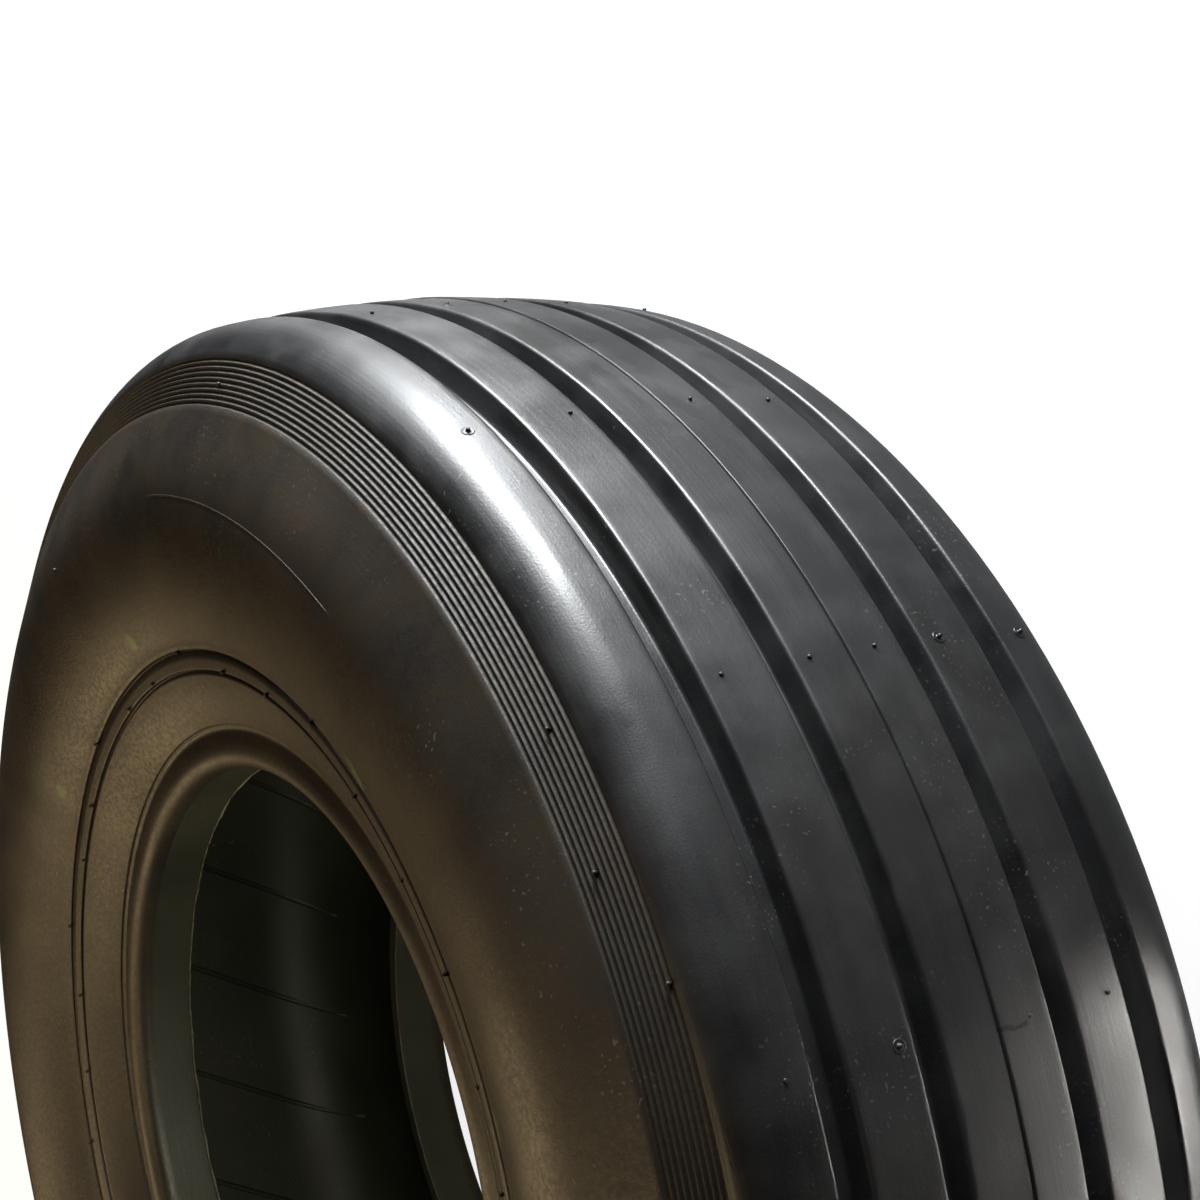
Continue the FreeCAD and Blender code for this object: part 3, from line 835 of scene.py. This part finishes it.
def add_camera():
    """The photograph's camera: its place, the directions of the picture's right and down, and its lens.
    The photograph was cut out of a wider one, so its middle lies off the lens's axis."""
    place = Vector((633.4, 0, 321.4)) * MM
    right = Vector((0.42555, -0.24519, -0.87108)).normalized()
    down = Vector((-0.25642, -0.95581, 0.14377)).normalized()
    data = bpy.data.cameras.new("camera")
    data.sensor_width = SENSOR_WIDTH
    data.lens = SENSOR_WIDTH * LENS_PIXELS / PHOTO_SIDE
    data.shift_x = SHIFT_PIXELS / PHOTO_SIDE
    data.shift_y = SHIFT_PIXELS / PHOTO_SIDE
    camera = add_object("camera", data)
    forward = right.cross(down)
    camera.matrix_world = Matrix.Translation(place) @ Matrix((right, -down, -forward)).transposed().to_4x4()
    bpy.context.scene.camera = camera


def add_lamp(name, place, size, power, colour=(1, 1, 1), target=(0, 0, 0), spread=180):
    """A soft lamp: its width and height, its power in watts and how wide its light spreads, in degrees."""
    data = bpy.data.lights.new(name, "AREA")
    data.shape = "RECTANGLE"
    data.size, data.size_y = size
    data.energy = power
    data.color = colour
    data.spread = math.radians(spread)
    lamp = add_object(name, data)
    lamp.visible_camera = False
    lamp.location = place
    lamp.rotation_euler = (Vector(target) - Vector(place)).to_track_quat("-Z", "Y").to_euler()


def camera_share(tree, others, seen):
    """Mixes two shaders: one for what the camera sees, one for every other ray."""
    path = tree.nodes.new("ShaderNodeLightPath")
    mix = tree.nodes.new("ShaderNodeMixShader")
    for socket, value in zip(mix.inputs, (path.outputs["Is Camera Ray"], others, seen)):
        tree.links.new(value, socket)
    return mix.outputs[0]


def add_floor():
    """A wide white floor. What the camera sees of it glows a little, so that it is as white as the picture.
    Every other ray meets a plain grey one."""
    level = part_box(NODE)[0].z - FLOOR_GAP
    sides = ((-1, -1), (1, -1), (1, 1), (-1, 1))
    corners = [(x * FLOOR_REACH, y * FLOOR_REACH, level) for x, y in sides]
    mesh = bpy.data.meshes.new("floor")
    mesh.from_pydata(corners, [], [(0, 1, 2, 3)])
    floor = add_object("floor", mesh)
    material = bpy.data.materials.new("floor_white")
    material.use_nodes = True
    tree = material.node_tree
    shader = tree.nodes["Principled BSDF"]
    shader.inputs["Base Color"].default_value = FLOOR_GREY
    shader.inputs["Roughness"].default_value = FLOOR_ROUGHNESS
    glow = tree.nodes.new("ShaderNodeEmission")
    glow.inputs["Color"].default_value = PLAIN_WHITE
    glow.inputs["Strength"].default_value = FLOOR_GLOW
    pale = tree.nodes.new("ShaderNodeBsdfDiffuse")
    pale.inputs["Color"].default_value = FLOOR_PALE
    seen = tree.nodes.new("ShaderNodeAddShader")
    for socket, node in zip(seen.inputs, (glow, pale)):
        tree.links.new(node.outputs[0], socket)
    both = camera_share(tree, shader.outputs[0], seen.outputs[0])
    tree.links.new(both, tree.nodes["Material Output"].inputs["Surface"])
    mesh.materials.append(material)
    floor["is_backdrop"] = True


def set_world():
    """White for the camera and nearly dark for every other ray."""
    world = bpy.data.worlds.new("world")
    world.use_nodes = True
    tree = world.node_tree
    dim = tree.nodes["Background"]
    dim.inputs["Color"].default_value = PLAIN_WHITE
    dim.inputs["Strength"].default_value = WORLD_LIGHT
    white = tree.nodes.new("ShaderNodeBackground")
    white.inputs["Color"].default_value = PLAIN_WHITE
    white.inputs["Strength"].default_value = 1.0
    both = camera_share(tree, dim.outputs[0], white.outputs[0])
    tree.links.new(both, tree.nodes["World Output"].inputs["Surface"])
    bpy.context.scene.world = world


def add_lamps():
    add_lamp("window", (0.48, 1.04, 0.07), (0.6, 0.26), 33, COOL, (0.12, 0, 0.05))
    add_lamp("window_high", (0.3, 1.3, 0.4), (0.9, 0.4), 5.5, COOL)
    add_lamp("floor_back", (0.23, 0.74, 0.2), (0.2, 0.2), 17, COOL, (0.2, 0.74, -0.09), 60)
    add_lamp("floor_right", (0.291, -0.09, 0.16), (0.02, 0.15), 1.35, WHITE, (0.291, -0.09, -0.09), 6)
    add_lamp("left_high", (-0.55, -0.3, 0.95), (0.4, 0.4), 1.5, WARM)
    add_lamp("top", (0.05, -0.35, 1.1), (0.4, 0.4), 2.4, WARM)
    add_lamp("left_low", (-1.05, -0.25, 0.72), (0.6, 0.5), 3.6, WARM)
    add_lamp("hub", (0.07, 0.0, 0.06), (0.08, 0.08), 0.19, OLIVE, (-0.25, 0.05, 0))


add_tire()
add_camera()
add_floor()
set_world()
add_lamps()
bpy.context.scene.view_settings.view_transform = "Standard"

[[list(corner) for corner in box] for box in (cad_box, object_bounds())]
